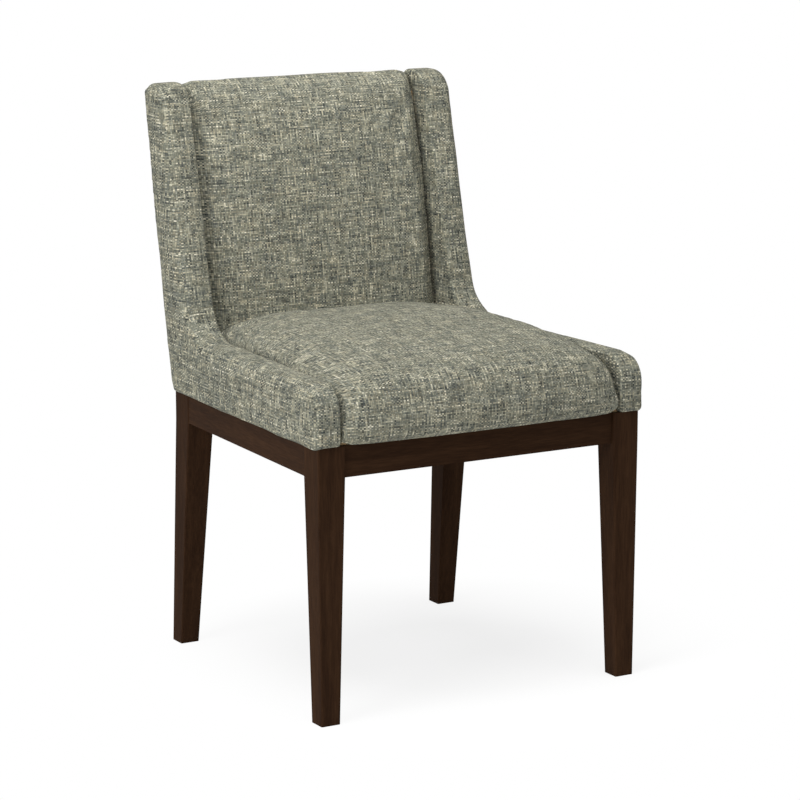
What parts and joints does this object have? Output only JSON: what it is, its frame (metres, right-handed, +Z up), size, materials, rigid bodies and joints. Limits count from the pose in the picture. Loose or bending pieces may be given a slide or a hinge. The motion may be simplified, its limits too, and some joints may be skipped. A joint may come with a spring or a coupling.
{
  "type": "upholstered dining chair",
  "caption": "Dining chair with a tight upholstered seat and back, side wings sweeping into low arms, and tapered dark wooden legs joined by aprons.",
  "frame": {"origin": "on the floor under the middle of the chair's overall width and depth", "axes": "+Z up, the chair faces -Y, +X to the right as seen from the front"},
  "size_m": [0.5456, 0.5946, 0.856],
  "materials": {
    "stained_wood": "dark walnut stain, satin lacquer",
    "frame_wood": "raw sawn",
    "back_board": "raw hardboard",
    "screw_steel": "zinc plated",
    "webbing": "woven jute webbing",
    "foam": "cut foam",
    "tweed": "grey-green melange tweed",
    "dust_cloth": "non-woven cloth"
  },
  "bodies": {
    "root": {"front_left_leg": "stained_wood", "front_right_leg": "stained_wood", "rear_left_leg": "stained_wood", "rear_right_leg": "stained_wood", "front_apron": "stained_wood", "rear_apron": "stained_wood", "left_apron": "stained_wood", "right_apron": "stained_wood", "front_left_corner_block": "frame_wood", "front_right_corner_block": "frame_wood", "rear_left_corner_block": "frame_wood", "rear_right_corner_block": "frame_wood", "apron_dowels": "frame_wood", "seat_front_rail": "frame_wood", "seat_rear_rail": "frame_wood", "seat_left_rail": "frame_wood", "seat_right_rail": "frame_wood", "seat_frame_dowels": "frame_wood", "left_back_post": "frame_wood", "right_back_post": "frame_wood", "back_top_rail": "frame_wood", "back_lower_rail": "frame_wood", "left_wing_panel": "frame_wood", "right_wing_panel": "frame_wood", "outside_back_board": "back_board", "corner_block_screws": "screw_steel", "seat_mounting_screws": "screw_steel", "post_screws": "screw_steel", "back_frame_screws": "screw_steel", "wing_panel_screws": "screw_steel", "seat_webbing_lengthwise": "webbing", "seat_webbing_crosswise": "webbing", "back_webbing": "webbing", "left_wing_padding": "foam", "right_wing_padding": "foam", "seat_foam": "foam", "back_foam": "foam", "left_wing_cover": "tweed", "right_wing_cover": "tweed", "seat_cover": "tweed", "inside_back_cover": "tweed", "outside_back_cover": "tweed", "dust_cover": "dust_cloth"}
  },
  "joints": []
}
